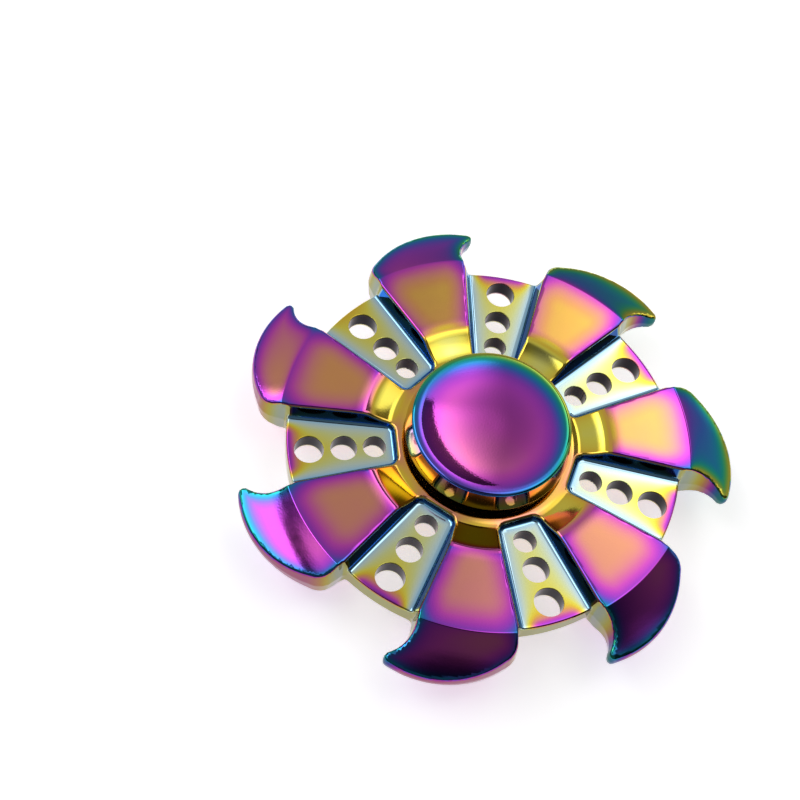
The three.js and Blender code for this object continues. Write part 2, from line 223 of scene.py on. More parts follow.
def pocket_outline():
    """The pocket's floor: Y along its middle line, open past the rim."""
    outer_y = RIM_R + 0.9
    inner, outer = POCKET_INNER_HALF, POCKET_INNER_HALF + POCKET_FLARE * (outer_y - POCKET_INNER_Y)
    r = POCKET_CORNER_R
    lean = r * (1 - math.sqrt(0.5))
    low = POCKET_INNER_Y
    corner = arc_through((inner, low + r), (inner - lean, low + lean), (inner - r, low), 8)
    return np.vstack([[(-outer, outer_y), (outer, outer_y)], corner, corner[::-1] * (-1, 1)])


BLADE_OUTLINE = blade_outline()
FACE_OUTLINE = face_outline()
POCKET_OUTLINE = pocket_outline()


def plan_distances(radius, angle):
    """Signed distances that don't depend on height, for a point at a clockwise angle from a
    blade's middle line: to the blade's outline, the pocket's floor, and the holes' walls."""
    blade = polygon_distance(radius * np.sin(angle), radius * np.cos(angle), BLADE_OUTLINE)
    aside = math.pi / BLADES - np.abs(angle)
    px, py = radius * np.sin(aside), radius * np.cos(aside)
    pocket = polygon_distance(px, py, POCKET_OUTLINE)
    holes = [hole_r - np.hypot(px, py - at) for at, hole_r in HOLES]
    return blade, pocket, np.maximum.reduce(holes)


def wheel_field(radius, height, plan, face):
    """Signed distance to the wheel's surface, from the distances in plan and in section."""
    blade, pocket, hole = plan
    high = np.abs(height)
    top = BODY_TOP - BEVEL_SLOPE * np.maximum(radius - FLAT_OUTER_R, 0)
    blade = blade - OUTER_DRAFT * np.maximum(top - high, 0)
    solid = round_max(face, round_min(radius - RIM_R, blade, RIM_FILLET), EDGE_ROUND)
    beside = pocket - POCKET_DRAFT * (BODY_TOP - WEB_TOP)
    face = face + SOFT_DROP * np.clip(1 - beside / SOFT_EDGE, 0, 1) ** 2
    lean = 1 / math.hypot(1, POCKET_DRAFT)
    wall = (pocket - POCKET_DRAFT * (high - WEB_TOP)) * lean
    solid = round_max(solid, -round_max(wall, WEB_TOP - high, FLOOR_FILLET), EDGE_ROUND)
    solid = round_max(solid, hole, HOLE_ROUND)
    return round_max(solid, BORE_R - radius, HOLE_ROUND)


# ------------------------------------------------------------------ meshing of a repeated sector


def sector_surface(field, radii, angles, heights):
    """Vertices (radius, angle, height) and quads of one sector of a wheel-shaped solid.

    The field is given on a grid whose last angle is one step short of the next sector's first.
    A quad's corner is (vertex, sector shift), so that the sector can join its neighbours."""
    nr, na, nh = field.shape
    wrapped = np.concatenate([field, field[:, :1]], axis=1)
    step = angles[1] - angles[0]
    all_angles = np.append(angles, angles[-1] + step)
    corner = np.stack([
        wrapped[i : nr - 1 + i, j : na + j, k : nh - 1 + k]
        for i in (0, 1) for j in (0, 1) for k in (0, 1)
    ])
    mixed = (corner < 0).any(axis=0) & (corner >= 0).any(axis=0)
    cells = np.argwhere(mixed)
    number = np.full(mixed.shape, -1)
    number[mixed] = np.arange(len(cells))

    grids = (radii, all_angles, heights)
    total, count = np.zeros((len(cells), 3)), np.zeros(len(cells))
    for axis in range(3):
        others = [a for a in range(3) if a != axis]
        for u in (0, 1):
            for v in (0, 1):
                low = cells.copy()
                low[:, others[0]] += u
                low[:, others[1]] += v
                high = low.copy()
                high[:, axis] += 1
                f0 = wrapped[tuple(low.T)]
                f1 = wrapped[tuple(high.T)]
                cut = (f0 < 0) != (f1 < 0)
                t = np.where(cut, f0 / np.where(cut, f0 - f1, 1), 0)
                at = np.stack([grids[a][low[:, a]] for a in range(3)], axis=1)
                at[:, axis] += t * (grids[axis][high[:, axis]] - grids[axis][low[:, axis]])
                total[cut] += at[cut]
                count += cut
    vertices = total / count[:, None]

    quads, shifts = [], []
    for axis in range(3):
        sizes = [n - 1 if a == axis and a != 1 else n for a, n in enumerate((nr, na, nh))]
        low = np.argwhere(np.ones(sizes))
        high = low.copy()
        high[:, axis] += 1
        f0, f1 = wrapped[tuple(low.T)], wrapped[tuple(high.T)]
        cut = (f0 < 0) != (f1 < 0)
        low, rising = low[cut], (f0 < 0)[cut]
        a, b = [(1, 2), (2, 0), (0, 1)][axis]
        ring, ring_shift = [], []
        for da, db in ((0, 0), (-1, 0), (-1, -1), (0, -1)):
            cell = low.copy()
            cell[:, a] += da
            cell[:, b] += db
            shift = np.floor_divide(cell[:, 1], na)
            cell[:, 1] -= shift * na
            ring.append(number[tuple(cell.T)])
            ring_shift.append(shift)
        ring, ring_shift = np.stack(ring, 1), np.stack(ring_shift, 1)
        ring[rising] = ring[rising][:, ::-1]
        ring_shift[rising] = ring_shift[rising][:, ::-1]
        quads.append(ring)
        shifts.append(ring_shift)
    return vertices, np.vstack(quads), np.vstack(shifts)


def settle(points, field_at, largest_move, rounds=4):
    """Moves points onto the field's zero surface; returns them with the surface normals."""
    h = 0.01

    def gradient(p):
        steps = np.eye(3) * h
        return np.stack([(field_at(p + s) - field_at(p - s)) / (2 * h) for s in steps], axis=1)

    start = points.copy()
    for _ in range(rounds):
        g = gradient(points)
        size = np.maximum((g**2).sum(axis=1), 0.2)
        points = points - g * (field_at(points) / size)[:, None]
        move = points - start
        reach = np.linalg.norm(move, axis=1, keepdims=True)
        points = start + move * np.minimum(1, largest_move / np.maximum(reach, 1e-9))
    g = gradient(points)
    return points, g / np.maximum(np.linalg.norm(g, axis=1, keepdims=True), 1e-9)


def onto_hole_edges(points, within):
    """Draws the points of one sector that lie near a hole's edge onto it: a clean circle."""
    points = points.copy()
    moved = np.zeros(len(points), bool)
    inset = HOLE_ROUND * (1 - math.sqrt(0.5))
    half_pitch = math.pi / BLADES
    high = np.abs(points[:, 2])
    for side in (-1, 1):
        for at, hole_r in HOLES:
            centre = np.array([side * math.sin(half_pitch), math.cos(half_pitch)]) * at
            offset = points[:, :2] - centre
            distance = np.hypot(*offset.T)
            near = (np.abs(distance - hole_r) < within) & (np.abs(high - WEB_TOP) < within)
            points[near, :2] = centre + offset[near] * ((hole_r + inset) / distance[near])[:, None]
            points[near, 2] = np.sign(points[near, 2]) * (WEB_TOP - inset)
            moved |= near
    return points, moved


def repeat_sector(points, quads, shifts, copies, extra=()):
    """The whole solid from one sector: points, faces and any per-vertex vectors or values."""
    count = len(points)
    turns = [2 * math.pi * s / copies for s in range(copies)]

    def turned(vectors, angle):
        c, s = math.cos(angle), math.sin(angle)
        out = vectors.copy()
        out[:, 0] = c * vectors[:, 0] - s * vectors[:, 1]
        out[:, 1] = s * vectors[:, 0] + c * vectors[:, 1]
        return out

    all_points = np.vstack([turned(points, -a) for a in turns])
    faces = np.vstack([quads + ((shifts + s) % copies) * count for s in range(copies)])
    more = []
    for values in extra:
        flat = values.ndim == 1
        more.append(np.tile(values, copies) if flat else np.vstack([turned(values, -a) for a in turns]))
    return all_points, faces, more


def make_mesh(name, points, faces, normals=None):
    mesh = bpy.data.meshes.new(name)
    mesh.from_pydata((points * MM).tolist(), [], [list(map(int, f)) for f in faces])
    mesh.polygons.foreach_set("use_smooth", np.ones(len(mesh.polygons), bool))
    mesh.update()
    if normals is not None:
        mesh.normals_split_custom_set_from_vertices(normals.tolist())
    piece = bpy.data.objects.new(name, mesh)
    bpy.context.scene.collection.objects.link(piece)
    return piece


def add_values(piece, name, values):
    layer = piece.data.attributes.new(name, "FLOAT", "POINT")
    layer.data.foreach_set("value", np.asarray(values, np.float32))


# ------------------------------------------------------------------ wheel


def wheel_distances(points):
    """Plan and section distances, radius and height for points near a blade (X clockwise)."""
    radius = np.hypot(points[:, 0], points[:, 1])
    angle = np.arctan2(points[:, 0], points[:, 1])
    pitch = 2 * math.pi / BLADES
    angle = (angle + pitch / 2) % pitch - pitch / 2
    plan = plan_distances(radius, angle)
    face = polygon_distance(radius, np.abs(points[:, 2]), FACE_OUTLINE)
    return radius, points[:, 2], plan, face


def build_wheel():
    cell = 0.35
    radii = np.concatenate([
        np.arange(BORE_R - 0.4, BORE_R + 0.6, 0.2),
        np.arange(BORE_R + 0.8, 11.0, 0.6),
        np.arange(11.0, 32.9, cell),
    ])
    per_sector = 73
    angles = (np.arange(per_sector) / per_sector - 0.5) * 2 * math.pi / BLADES
    upper = [0.45, 0.9, 1.22, 1.46, 1.7, 1.95, 2.2, 2.45, 2.7, 2.9, 3.07, 3.22, 3.37, 3.52, 3.7]
    heights = np.array([-z for z in upper[::-1]] + [0.0] + upper)
    grid_r, grid_a = np.meshgrid(radii, angles, indexing="ij")
    plan = plan_distances(grid_r, grid_a)
    face = polygon_distance(*np.meshgrid(radii, np.abs(heights), indexing="ij"), FACE_OUTLINE)
    field = wheel_field(
        radii[:, None, None],
        heights[None, None, :],
        [p[:, :, None] for p in plan],
        face[:, None, :],
    )
    vertices, quads, shifts = sector_surface(field, radii, angles, heights)
    radius, angle, height = vertices.T
    points = np.column_stack([radius * np.sin(angle), radius * np.cos(angle), height])

    def field_at(p):
        return wheel_field(*wheel_distances(p))

    points, _ = settle(points, field_at, 0.6 * cell)
    points, on_edge = onto_hole_edges(points, 0.55 * cell)
    points, normals = settle(points, field_at, 0, rounds=0)
    # The pocket's floor is shaded flat right up to the edge.
    normals[on_edge] = np.sign(points[on_edge, 2:]) * (0, 0, 1)
    parts = wheel_film(points, normals)
    points, faces, (normals, *parts) = repeat_sector(points, quads, shifts, BLADES, (normals, *parts))
    # The sector is a blade on +Y; the frame has a pocket there.
    turn = np.array(Matrix.Rotation(math.pi / BLADES, 3, "Z"))
    points, normals = points @ turn.T, normals @ turn.T
    *parts, painted_shade, steep = parts
    # Painted shade on the pocket walls, as much as each pocket is given.
    darker = np.array(WALL_PAINTED_SHADE)[nearest_pocket(points)]
    return points, faces, normals, drifted_film(points, *parts), np.maximum(painted_shade, steep * darker)


# ------------------------------------------------------------------ plating thickness

FILM_STOPS = (  # film thickness, and the colour that it reflects
    (0.00, (0.015, 0.090, 0.560)),
    (0.05, (0.040, 0.240, 0.780)),
    (0.10, (0.170, 0.500, 0.850)),
    (0.15, (0.460, 0.700, 0.860)),
    (0.20, (0.640, 0.760, 0.640)),
    (0.25, (0.740, 0.770, 0.320)),
    (0.30, (0.840, 0.750, 0.110)),
    (0.36, (0.850, 0.590, 0.060)),
    (0.42, (0.800, 0.380, 0.130)),
    (0.48, (0.760, 0.270, 0.250)),
    (0.53, (0.700, 0.160, 0.370)),
    (0.58, (0.620, 0.085, 0.500)),
    (0.63, (0.460, 0.060, 0.540)),
    (0.68, (0.310, 0.060, 0.550)),
    (0.73, (0.150, 0.090, 0.560)),
    (0.78, (0.050, 0.150, 0.530)),
    (0.84, (0.020, 0.250, 0.420)),
    (0.89, (0.020, 0.360, 0.270)),
    (0.94, (0.090, 0.430, 0.120)),
    (1.00, (0.310, 0.430, 0.060)),
    (1.07, (0.560, 0.480, 0.060)),
    (1.15, (0.780, 0.520, 0.070)),
)
FILM_SPAN = FILM_STOPS[-1][0]

# Partly painted reflection colour: the plating's colour shift with viewing angle is fixed to each blade, on
# top of uneven plating.
# Film on each blade's slope: clockwise from the blade left of +Y.
SLOPE_FILM_AND_SHEEN = (0.63, 0.80, 0.77, 0.57, 0.535, 0.59, 0.45)
# Painted shade on each pocket's walls, stronger in some pockets than in others.
# How far each pocket's walls are darkened: clockwise from the one on +Y.
WALL_PAINTED_SHADE = (0.35, 0.55, 0.6, 0.6, 0.5, 0.4, 0.0)
# How much thinner the film on each flat's inner lip is.
LIP_THINNING = (0.13, 0.16, 0.14, 0.02, 0.0, 0.0, 0.0)
# How far the rim's thicker film reaches into each pocket, clockwise from the one on +Y.
POCKET_RIM_FILM = (1.0, 1.0, 1.0, 1.0, 1.0, 1.0, 0.15)


def wheel_film(points, normals):
    """Film on one sector: its value, and how much of each drift across the wheel it takes."""
    radius, height, (blade, pocket, hole), _ = wheel_distances(points)
    high = np.abs(height)
    upright = 1 - smoothstep(0.35, 0.75, np.abs(normals[:, 2]))
    clockwise = smoothstep(-4, 4, points[:, 0])
    face_z = np.interp(radius, FACE_OUTLINE[1:-1, 0], FACE_OUTLINE[1:-1, 1])
    beside = pocket - POCKET_DRAFT * (face_z - WEB_TOP)

    # The flat of a blade, thicker towards its edges.
    side = (0.15 + 0.07 * clockwise) * np.clip(1 - beside / 3.2, 0, 1) ** 2
    crease = 0.22 * np.clip(1 - (FLAT_OUTER_R - radius) / 4.6, 0, 1) ** 2
    inner = 0.08 * np.clip(1 - (radius - FLAT_INNER_R) / 1.8, 0, 1) ** 2
    flat = 0.43 + side + crease + inner + 0.13 * np.exp(-np.maximum(beside, 0) / 0.18)

    # The slope outside it, up to 0.4 thicker at the blade's edge.
    edge = 0.34 * np.exp(np.minimum(blade, 0) / 1.0)
    near_crease = np.exp(-np.maximum(radius - FLAT_OUTER_R, 0) / 0.6)
    slope = 0.07 * (clockwise - 0.5) + edge
    on_slope = smoothstep(FLAT_OUTER_R - 0.1, FLAT_OUTER_R + 0.1, radius)
    slope_share = on_slope * (1 - 0.6 * near_crease)
    top = flat + (0.60 + slope - flat) * on_slope

    # The valley and the ring round the cap.
    ring = 0.30 + 0.07 * smoothstep(12.6, 11.0, radius)
    ring = ring + 0.10 * np.exp(-np.maximum(beside, 0) / 0.9)
    lip = ring + (0.54 - ring) * smoothstep(14.5, 15.7, radius)
    top = np.where(radius < FLAT_INNER_R, lip, top)

    # The floor of a pocket, and its walls.
    pitch = 2 * math.pi / BLADES
    aside = pitch / 2 - np.abs((np.arctan2(points[:, 0], points[:, 1]) + pitch / 2) % pitch - pitch / 2)
    across, along = radius * np.sin(aside), radius * np.cos(aside)
    to_side = POCKET_INNER_HALF + POCKET_FLARE * (along - POCKET_INNER_Y) - across
    to_wall = np.minimum(to_side, along - POCKET_INNER_Y)
    floor = 0.10 + 0.19 * (1 - np.exp(-np.maximum(to_wall, 0) / 1.5))
    floor = floor + 0.035 * smoothstep(17, 23, radius) * smoothstep(0, 2.5, to_side)
    rim = 0.42 * np.exp(-((np.maximum(RIM_R - radius, 0) / 1.15) ** 1.3))
    rim = rim * smoothstep(0.1, 2.4, to_side)
    climb = np.clip((high - WEB_TOP) / (face_z - WEB_TOP), 0, 1)
    wall = 0.13 - 0.10 * smoothstep(0.0, 0.3, climb) + 0.22 * smoothstep(0.86, 1.0, climb)
    in_pocket = (radius < RIM_R + 0.3) & (beside < 0.05)
    share = smoothstep(0.02, 0.30, climb)
    recess = floor + (wall - floor) * share
    rim_share = rim * (1 - share) * in_pocket
    depth = smoothstep(0.10, -0.10, beside) * (radius < RIM_R + 0.3)
    film = top + (recess - top) * depth

    # The outside walls: bare near the root of a blade, thickest at the hook's tip.
    root = BLADE_OUTLINE[2] * (np.sign(points[:, 0])[:, None] * [1, 0] + [0, 1])
    from_root = np.hypot(points[:, 0] - root[:, 0], points[:, 1] - root[:, 1])
    tip = BLADE_OUTLINE[2] + (3.25, 4.85)
    from_tip = np.hypot(points[:, 0] - tip[0], points[:, 1] - tip[1])
    outside = 0.21 + 0.31 * smoothstep(0.8, 5.0, from_root) + 0.36 * smoothstep(3.2, 0.2, from_tip)
    outside = np.where(radius < RIM_R + 0.35, 0.27, outside)
    is_outside = upright * (radius > RIM_R - 0.4) * (beside > -9)
    film = film + (outside - film) * is_outside
    # Painted shade inside the holes and the bore.
    bored = smoothstep(0.01, 0.15, 1 - np.abs(normals[:, 2])) * ((hole > -0.3) | (radius < BORE_R + 0.4))

    # Painted shade: the pocket walls, the outside walls and the holes' walls are darkened in colour,
    # standing in for the shade and dark reflections on them.
    steep = smoothstep(0.15, 0.5, 1 - np.abs(normals[:, 2])) * depth * share
    painted_shade = np.maximum(bored, 0.60 * is_outside)

    keep = (1 - is_outside) * (1 - bored) * (1 - depth)
    lip_share = keep * smoothstep(14.5, 15.5, radius) * smoothstep(17.0, 16.0, radius)
    shares = (slope_share * keep, keep * (1 - on_slope), rim_share * (1 - is_outside), lip_share)
    return film, *shares, painted_shade, steep


def nearest_pocket(points):
    around = np.arctan2(points[:, 0], points[:, 1]) * BLADES / (2 * math.pi)
    return np.round(around).astype(int) % BLADES


def drifted_film(points, film, slope_share, flat_share, rim_share, lip_share):
    """Adds what differs from blade to blade and across the wheel: partly uneven plating, partly painted
    reflection colour, the plating's colour shift with viewing angle fixed to each blade.
    """
    x, y = points[:, 0] / RIM_R, points[:, 1] / RIM_R
    around = np.arctan2(points[:, 0], points[:, 1]) * BLADES / (2 * math.pi)
    blade = np.floor(around + 1).astype(int) % BLADES
    film = film + slope_share * (np.array(SLOPE_FILM_AND_SHEEN)[blade] - 0.60)
    film = film - flat_share * (0.01 * x + 0.05 * y)
    film = film - lip_share * np.array(LIP_THINNING)[blade]
    return film + rim_share * np.array(POCKET_RIM_FILM)[nearest_pocket(points)]


# ------------------------------------------------------------------ turned pieces


def rounded(*corners, steps=5):
    """An open profile through corners (radius, height, rounding)."""
    out = []
    pts = [np.array(c[:2], float) for c in corners]
    for i, c in enumerate(corners):
        rounding = c[2] if len(c) > 2 else 0
        if not rounding or i in (0, len(corners) - 1):
            out.append(pts[i])
            continue
        a, b = pts[i - 1] - pts[i], pts[i + 1] - pts[i]
        la, lb = np.linalg.norm(a), np.linalg.norm(b)
        a, b = a / la, b / lb
        half = math.acos(np.clip(a @ b, -1, 1)) / 2
        reach = min(rounding / math.tan(half), 0.48 * la, 0.48 * lb)
        bow = pts[i] + (a + b) / np.linalg.norm(a + b) * (reach / math.cos(half)) * (1 - math.sin(half))
        out.extend(arc_through(tuple(pts[i] + a * reach), tuple(bow), tuple(pts[i] + b * reach), steps))
    return np.array(out)


def lathe(name, profile, segments, closed=True):
    """A piece turned about +Z. The profile runs clockwise in (radius, height)."""
    profile = np.asarray(profile, float)
    on_axis = profile[:, 0] < 1e-6
    angles = 2 * math.pi * np.arange(segments) / segments
    points, rings = [], []
    for (r, z), axis in zip(profile, on_axis):
        if axis:
            rings.append([len(points)] * segments)
            points.append((0, 0, z))
        else:
            rings.append(list(range(len(points), len(points) + segments)))
            points.extend((r * math.cos(a), r * math.sin(a), z) for a in angles)
    pairs = list(zip(rings, rings[1:]))
    if closed and not on_axis[0]:
        pairs.append((rings[-1], rings[0]))
    faces = []
    for upper, lower in pairs:
        for i in range(segments):
            j = (i + 1) % segments
            quad = [upper[i], lower[i], lower[j], upper[j]]
            unique = list(dict.fromkeys(quad))
            if len(unique) > 2:
                faces.append(unique)
    return make_mesh(name, np.array(points), faces)


def flipped(profile):
    return profile[::-1] * (1, -1)


SPIGOT_R = RACE_BORE_R - 0.06
CAP_SEAT_Z = BEARING_TOP + 0.01
BOSS_R = INNER_LAND_R - 0.2
SOCKET_TOP = 4.4
CAP_SEGMENTS = 160
RACE_SEGMENTS = 96
OUTER_SEGMENTS = 120
SPIGOT_END = 0.1
STUD_R = 2.0
STUD_END = SPIGOT_END - 4.2
SOCKET_R = STUD_R + 0.1


def cap_outside():
    """From the middle of the dish out over the rim and down the skirt to the boss."""
    r = np.linspace(0, CAP_CREST_R, 60)
    slope = CAP_DISH_SLOPE * (r / CAP_CREST_R) ** 1.4 * smoothstep(CAP_CREST_R, CAP_DISH_R, r)
    height = np.concatenate([[0], np.cumsum((slope[1:] + slope[:-1]) / 2 * np.diff(r))])
    dish = np.column_stack([r, CAP_TOP - height[-1] + height])
    turn = np.linspace(0, np.pi / 2, 14)
    over = CAP_EDGE_R - CAP_CREST_R
    rim = np.column_stack([CAP_CREST_R + over * np.sin(turn), CAP_TOP - CAP_EDGE_DROP * (1 - np.cos(turn))])
    under = CAP_SKIRT_R - 0.7
    skirt = rounded(
        (CAP_EDGE_R, CAP_EDGE_Z),
        (CAP_EDGE_R, CAP_EDGE_Z - 0.05),
        (CAP_SKIRT_R, CAP_SKIRT_Z, 0.15),
        (under, CAP_SKIRT_Z, 0.12),
        (under - 0.4, CAP_SKIRT_Z + 0.4, 0.15),
        (BOSS_R, CAP_SKIRT_Z + 0.4, 0.2),
        (BOSS_R, CAP_SEAT_Z, 0.08),
    )
    return np.vstack([dish, rim[1:], skirt[1:]])


def front_cap():
    inside = rounded(
        (BOSS_R, CAP_SEAT_Z),
        (SPIGOT_R, CAP_SEAT_Z, 0.05),
        (SPIGOT_R, SPIGOT_END, 0.15),
        (STUD_R, SPIGOT_END, 0.1),
        (STUD_R, STUD_END, 0.25),
        (0, STUD_END),
    )
    return lathe("front_cap_plated", np.vstack([cap_outside(), inside[1:]]), CAP_SEGMENTS)


def rear_cap():
    inside = rounded(
        (BOSS_R, CAP_SEAT_Z),
        (SPIGOT_R, CAP_SEAT_Z, 0.05),
        (SPIGOT_R, SPIGOT_END, 0.15),
        (SOCKET_R, SPIGOT_END, 0.12),
        (SOCKET_R, SOCKET_TOP, 0.3),
        (0, SOCKET_TOP),
    )
    return lathe("rear_cap_plated", flipped(np.vstack([cap_outside(), inside[1:]])), CAP_SEGMENTS)


def cap_film(points):
    """Magenta in the dish, through blue to green over the rim, and gold below it."""
    radius = np.hypot(points[:, 0], points[:, 1])
    high = np.abs(points[:, 2])
    angle = np.arctan2(points[:, 1], points[:, 0])
    edge = 0.30 * (np.clip(radius - 5, 0, 5) / 4.6) ** 2.6
    # Partly painted reflection colour: the film leans toward 66 degrees, standing in for the plating's
    # colour shift with viewing angle, on top of uneven plating.
    drift = 0.045 * np.minimum(radius / 6, 1) + 0.35 * edge
    top = 0.58 + edge + drift * np.cos(angle - math.radians(66))
    skirt = 0.25 + 0.05 * smoothstep(CAP_EDGE_Z, CAP_SKIRT_Z, high)
    below = smoothstep(CAP_EDGE_Z + 0.02, CAP_EDGE_Z - 0.12, high) * (radius > CAP_DISH_R)
    film = top + (skirt - top) * below
    return np.where((high < CAP_SKIRT_Z + 0.6) & (radius < CAP_SKIRT_R - 0.3), 0.28, film)


# ------------------------------------------------------------------ bearing

SHIELD_GAP = 0.12
SHIELD_TOP = SEAT_FLOOR + 0.2
WIRE_R = 0.14
WIRE_OPEN = math.radians(15)
CAGE_HALF_WALL = 0.32
CAGE_POCKET_R = BALL_R + 0.07
CAGE_LOW = -CAGE_POCKET_R - 0.3
CAGE_HIGH = 0.45


def both_ways(front):
    """A section that starts on the middle plane, with its mirror image behind the plane."""
    return np.vstack([front, front[::-1] * (1, -1)])


def track(land, side):
    """From the middle of a ball track to its edge at the land; side is -1 on the inner race."""
    half = math.acos(side * (land - BALL_CIRCLE_R) / TRACK_R)
    turn = np.linspace(0.02, half, 12)
    return np.column_stack([BALL_CIRCLE_R + side * TRACK_R * np.cos(turn), TRACK_R * np.sin(turn)])


def inner_race():
    ball_track = track(INNER_LAND_R, -1)
    front = rounded(
        (RACE_BORE_R, 0.02),
        (RACE_BORE_R, BEARING_TOP, 0.2),
        (INNER_LAND_R, BEARING_TOP, 0.08),
        tuple(ball_track[-1]),
    )
    front = np.vstack([front, ball_track[-2::-1]])
    return lathe("inner_race", both_ways(front), RACE_SEGMENTS)


def outer_race():
    ball_track = track(OUTER_LAND_R, 1)
    front = rounded(
        tuple(ball_track[-1]),
        (OUTER_LAND_R, SEAT_FLOOR, 0.05),
        (SEAT_R, SEAT_FLOOR, 0.04),
        (SEAT_R, BEARING_TOP, 0.05),
        (RACE_OUTER_R, BEARING_TOP, 0.2),
        (RACE_OUTER_R, 0.02),
    )
    front = np.vstack([ball_track[:-1], front])
    return lathe("outer_race", both_ways(front), OUTER_SEGMENTS)


def shield(name, side):
    """A pressed washer with a shallow step, and both edges rounded."""
    step = SHIELD_TOP - 0.06
    inner, outer = INNER_LAND_R + SHIELD_GAP, SEAT_R - SHIELD_GAP
    front = rounded(
        (4.9, SEAT_FLOOR),
        (inner, SEAT_FLOOR, 0.05),
        (inner, SHIELD_TOP, 0.06),
        (4.7, SHIELD_TOP, 0.1),
        (4.8, step, 0.1),
        (5.15, step, 0.1),
        (5.25, SHIELD_TOP, 0.1),
        (outer, SHIELD_TOP, 0.06),
        (outer, SEAT_FLOOR, 0.05),
    )
    return lathe(name, front if side > 0 else flipped(front), RACE_SEGMENTS)


def snap_ring(name, side):
    """Open ring of round wire with domed ends; its gap is on +X."""
    ring_r = SEAT_R - SHIELD_GAP / 2 - WIRE_R
    ring_z = side * (SHIELD_TOP + SHIELD_GAP / 2 + WIRE_R)
    dome = np.linspace(0, np.pi / 2, 5)[:-1]
    tip = WIRE_R * np.sin(dome) / ring_r
    start, end = WIRE_OPEN + WIRE_R / ring_r, 2 * math.pi - WIRE_OPEN - WIRE_R / ring_r
    along = np.concatenate([start - tip[:0:-1], np.linspace(start, end, 110), end + tip[1:]])
    thick = WIRE_R * np.concatenate([np.cos(dome[:0:-1]), np.ones(110), np.cos(dome[1:])])
    around = 2 * math.pi * np.arange(14) / 14
    out = ring_r + thick[:, None] * np.cos(around)
    up = ring_z + thick[:, None] * np.sin(around)
    points = np.stack([out * np.cos(along)[:, None], out * np.sin(along)[:, None], up], axis=2)
    faces = [
        (14 * i + j, 14 * (i + 1) + j, 14 * (i + 1) + (j + 1) % 14, 14 * i + (j + 1) % 14)
        for i in range(len(along) - 1)
        for j in range(14)
    ]
    last = 14 * (len(along) - 1)
    ends = []
    for angle in (start - WIRE_R / ring_r, end + WIRE_R / ring_r):
        ends.append((ring_r * math.cos(angle), ring_r * math.sin(angle), ring_z))
    first_end, last_end = last + 14, last + 15
    faces += [(first_end, j, (j + 1) % 14) for j in range(14)]
    faces += [(last_end, last + (j + 1) % 14, last + j) for j in range(14)]
    return make_mesh(name, np.vstack([points.reshape(-1, 3), ends]), faces)


def cage():
    """Crown cage: a ring under the balls, with claws that reach up between them."""
    radii = np.linspace(BALL_CIRCLE_R - 0.5, BALL_CIRCLE_R + 0.5, 13)
    angles = (np.arange(30) / 30 - 0.5) * 2 * math.pi / BALLS
    heights = np.linspace(CAGE_LOW - 0.15, CAGE_HIGH + 0.15, 26)

    def cage_field(radius, angle, height):
        wall = np.abs(radius - BALL_CIRCLE_R) - CAGE_HALF_WALL
        ends = np.maximum(height - CAGE_HIGH, CAGE_LOW - height)
        aside = radius * np.sin(angle)
        along = radius * np.cos(angle) - BALL_CIRCLE_R
        pocket = CAGE_POCKET_R - np.sqrt(aside**2 + along**2 + height**2)
        return round_max(round_max(wall, ends, 0.1), pocket, 0.08)

    field = cage_field(radii[:, None, None], angles[None, :, None], heights[None, None, :])
    vertices, quads, shifts = sector_surface(field, radii, angles, heights)
    radius, angle, height = vertices.T
    points = np.column_stack([radius * np.sin(angle), radius * np.cos(angle), height])

    def field_at(p):
        return cage_field(np.hypot(p[:, 0], p[:, 1]), np.arctan2(p[:, 0], p[:, 1]), p[:, 2])

    points, normals = settle(points, field_at, 0.06)
    points, faces, (normals,) = repeat_sector(points, quads, shifts, BALLS, (normals,))
    # The sector's pocket is on +Y; the first ball is on +X.
    turn = np.array(Matrix.Rotation(-math.pi / 2, 3, "Z"))
    return make_mesh("cage", points @ turn.T, faces, normals @ turn.T)


def ball(name, number):
    """A ground ball in its place on the ball circle."""
    turn = np.linspace(0, np.pi, 25)
    section = np.column_stack([BALL_R * np.sin(turn), BALL_R * np.cos(turn)])
    section[[0, -1], 0] = 0
    piece = lathe(name, section, 40)
    angle = 2 * math.pi * number / BALLS
    at = (BALL_CIRCLE_R * math.cos(angle) * MM, BALL_CIRCLE_R * math.sin(angle) * MM, 0)
    piece.data.transform(Matrix.Translation(at))
    return piece


# ------------------------------------------------------------------ materials


def new_material(name):
    material = bpy.data.materials.new(name)
    material.use_nodes = True
    tree = material.node_tree
    return material, tree, tree.nodes["Principled BSDF"]


def link(tree, a, b):
    tree.links.new(a, b)


def noise(tree, coords, scale, detail=3.0, roughness=0.5):
    node = tree.nodes.new("ShaderNodeTexNoise")
    node.inputs["Scale"].default_value = scale
    node.inputs["Detail"].default_value = detail
    node.inputs["Roughness"].default_value = roughness
    link(tree, coords, node.inputs["Vector"])
    return node.outputs["Fac"]


def math_node(tree, operation, a, b):
    node = tree.nodes.new("ShaderNodeMath")
    node.operation = operation
    for socket, value in zip(node.inputs, (a, b)):
        if isinstance(value, (int, float)):
            socket.default_value = value
        else:
            link(tree, value, socket)
    return node.outputs[0]


def object_coords(tree):
    return tree.nodes.new("ShaderNodeTexCoord").outputs["Object"]


PAINTED_SHADE_COLOUR = (0.012, 0.009, 0.015)  # painted shade: the near-black that the walls and holes are darkened toward
PATCH_SCALE = 160.0  # of the film's faint unevenness, per metre
PATCH_DEPTH = 0.03
HAZE_SCALE = 900.0
RIPPLE_SCALE = 4000.0
MIX_FACTOR, MIX_A, MIX_B, MIX_RESULT = 0, 6, 7, 2  # colour sockets of a Mix node


